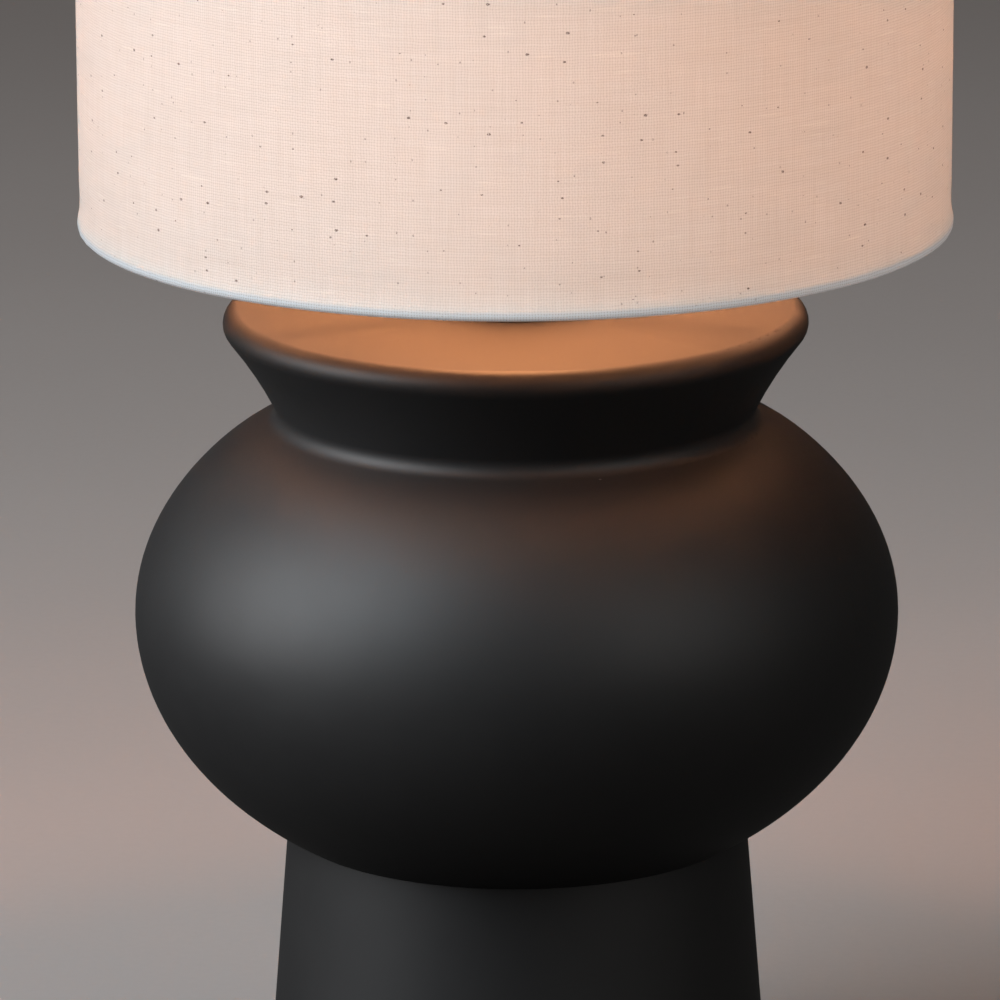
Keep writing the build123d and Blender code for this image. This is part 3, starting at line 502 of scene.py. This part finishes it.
def make_shade():
    """The cloth cover and the film liner inside it."""
    cover = lathe("cloth_cover", COVER, cover_offset, cotton(), "cloth")
    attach(cover, "shade")
    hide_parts("shade_fabric")

    liner_r = WALL_R - 0.6 * MM
    steps = 24
    outline = []
    for i in range(steps + 1):
        outline.append((liner_r, LINER_LOW.z + (LINER_HIGH.z - LINER_LOW.z) * i / steps))
    liner = lathe("film_liner", outline, lambda angle, r, z: 0.0, liner_film(), "film")
    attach(liner, "shade")
    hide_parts("shade_liner")


make_shade()

# ------------------------------------------------------------------ the ceramic's skin
WELD = 0.002 * MM
CRISP_ANGLE = math.radians(50)    # sharper corners than this stay crisp


def make_body():
    """The ceramic with its patches welded, so the glaze runs unbroken from the collar to the foot."""
    mesh = bpy.data.meshes.new("glazed_body")
    form = bmesh.new()
    form.from_mesh(nodes["ceramic_body"].data)
    bmesh.ops.remove_doubles(form, verts=form.verts, dist=WELD)
    form.to_mesh(mesh)
    form.free()
    if mesh.has_custom_normals:
        mesh.attributes.remove(mesh.attributes["custom_normal"])
    mesh.polygons.foreach_set("use_smooth", [True] * len(mesh.polygons))
    mesh.set_sharp_from_angle(angle=CRISP_ANGLE)
    mesh.materials.clear()
    mesh.materials.append(black_ceramic())
    body = bpy.data.objects.new("glazed_body", mesh)
    scene.collection.objects.link(body)
    body.matrix_world = nodes["ceramic_body"].matrix_world.copy()
    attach(body, "base")
    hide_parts("ceramic_body")
    return body


glazed_body = make_body()

# ------------------------------------------------------------------ materials of the CAD nodes
FINISHES = {
    "felt": felt(),
    "grommet_plastic": moulded("black_nylon", (0.014, 0.014, 0.015), (0.024, 0.023, 0.023), 0.45, 0.4 * MM),
    "zinc_steel": metal("zinc_plate", (0.5, 0.5, 0.49), (0.68, 0.68, 0.66), 0.34, SPUN, (0.55, 0.5, 0.38)),
    "black_rubber": moulded("soft_rubber", (0.02, 0.02, 0.02), (0.04, 0.039, 0.038), 0.75, 0.6 * MM),
    "black_paint": moulded("powder_coat", (0.014, 0.014, 0.014), (0.024, 0.023, 0.022), 0.42, 0.7 * MM),
    "holder_plastic": moulded("phenolic", (0.018, 0.017, 0.016), (0.032, 0.03, 0.028), 0.36, 0.5 * MM),
    "holder_ceramic": steatite(),
    "brass": metal("drawn_brass", (0.62, 0.43, 0.18), (0.78, 0.57, 0.28), 0.3, SPUN, (0.4, 0.24, 0.1)),
    "ring_steel": moulded("white_powder_coat", (0.74, 0.73, 0.7), (0.82, 0.81, 0.79), 0.45, 0.6 * MM),
    "solder": metal("tinned", (0.5, 0.5, 0.5), (0.66, 0.66, 0.65), 0.4),
    "black_glass": moulded("fused_glass", (0.006, 0.006, 0.007), (0.014, 0.013, 0.015), 0.14, 1.2 * MM),
    "cap_metal": metal("nickel_plate", (0.62, 0.61, 0.59), (0.78, 0.77, 0.74), 0.24, SPUN),
    "opal_glass": opal_glass(),
    "stem_glass": stem_glass(),
    "phosphor": phosphor(),
    "circuit_board": circuit_board(),
}

for node in nodes.values():
    for slot in node.material_slots:
        if slot.material and slot.material.name in FINISHES:
            slot.material = FINISHES[slot.material.name]

# ------------------------------------------------------------------ light
KEY_POWER = 58.0
KEY_SIZE = 1.5
KEY_PLACE = Vector((-1.5, -0.95, 1.75))
FILL_POWER = 54.0
FILL_SIZE = 2.6
FILL_PLACE = Vector((2.3, -2.1, 1.9))
TOP_POWER = 13.0
TOP_SIZE = 2.6
TOP_PLACE = Vector((-0.2, -1.3, 3.2))
WINDOW_POWER = 84.0
WINDOW_SIZE = 1.7
WINDOW_PLACE = Vector((-1.9, -0.45, 1.15))
BULB_POWER = 5.4
BULB_LIGHT_R = 24 * MM
ROOM = rgb(0.05, 0.048, 0.046)
AIM = Vector((0, 0, 0.4))


def softbox(name, place, size, power, colour):
    """A square area light at this place, turned to the lamp."""
    data = bpy.data.lights.new(name, "AREA")
    data.shape = "SQUARE"
    data.size = size
    data.energy = power
    data.color = colour
    light = bpy.data.objects.new(name, data)
    scene.collection.objects.link(light)
    light.location = place
    light.rotation_euler = (AIM - place).to_track_quat("-Z", "Y").to_euler()
    return light


def light_only(light, piece):
    """Flags a light off everything but this piece."""
    lit = bpy.data.collections.new(light.name + "_lights")
    lit.objects.link(piece)
    light.light_linking.receiver_collection = lit


softbox("key_softbox", KEY_PLACE, KEY_SIZE, KEY_POWER, (0.86, 0.98, 1.06))
softbox("fill_softbox", FILL_PLACE, FILL_SIZE, FILL_POWER, (1.0, 0.98, 0.95))
softbox("top_softbox", TOP_PLACE, TOP_SIZE, TOP_POWER, (1.0, 0.97, 0.94))
window = softbox("window_softbox", WINDOW_PLACE, WINDOW_SIZE, WINDOW_POWER, (0.97, 0.98, 1.0))
light_only(window, glazed_body)

bulb_data = bpy.data.lights.new("bulb_light", "POINT")
bulb_data.energy = BULB_POWER
bulb_data.color = (1.0, 0.38, 0.145)
bulb_data.shadow_soft_size = BULB_LIGHT_R
bulb_light = bpy.data.objects.new("bulb_light", bulb_data)
scene.collection.objects.link(bulb_light)
bulb_light.location = BULB_CENTRE
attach(bulb_light, "bulb")
FINISHES["opal_glass"].cycles.emission_sampling = "NONE"
for name in ("bulb_glass", "bulb_stem", "bulb_filaments", "bulb_support_wires"):
    nodes[name].visible_shadow = False
    nodes[name].visible_diffuse = False

world = bpy.data.worlds.new("room")
world.use_nodes = True
world.node_tree.nodes["Background"].inputs["Color"].default_value = ROOM
scene.world = world

# ------------------------------------------------------------------ floor
FLOOR_HALF = 40.0


def floor_material():
    shader = Shader("pale_floor")
    place = shader.place()
    cloud = shader.noise(place, 1.3, 4.0)
    grain = shader.noise(place, 220.0, 3.0)
    colour = shader.mix(shader.math("MULTIPLY_ADD", grain, 0.3, cloud), rgb(0.45, 0.385, 0.36),
                        rgb(0.52, 0.45, 0.42))
    return shader.finish(Base_Color=colour, Roughness=0.75, Normal=shader.bump(grain, 0.3 * MM, 0.3))


floor_mesh = bpy.data.meshes.new("floor")
corners = [(-FLOOR_HALF, -FLOOR_HALF, 0), (FLOOR_HALF, -FLOOR_HALF, 0), (FLOOR_HALF, FLOOR_HALF, 0),
           (-FLOOR_HALF, FLOOR_HALF, 0)]
floor_mesh.from_pydata(corners, [], [(0, 1, 2, 3)])
floor_mesh.materials.append(floor_material())
floor = bpy.data.objects.new("floor", floor_mesh)
scene.collection.objects.link(floor)
floor.visible_glossy = False      # the dark glaze mirrors no pale floor, only the dim room
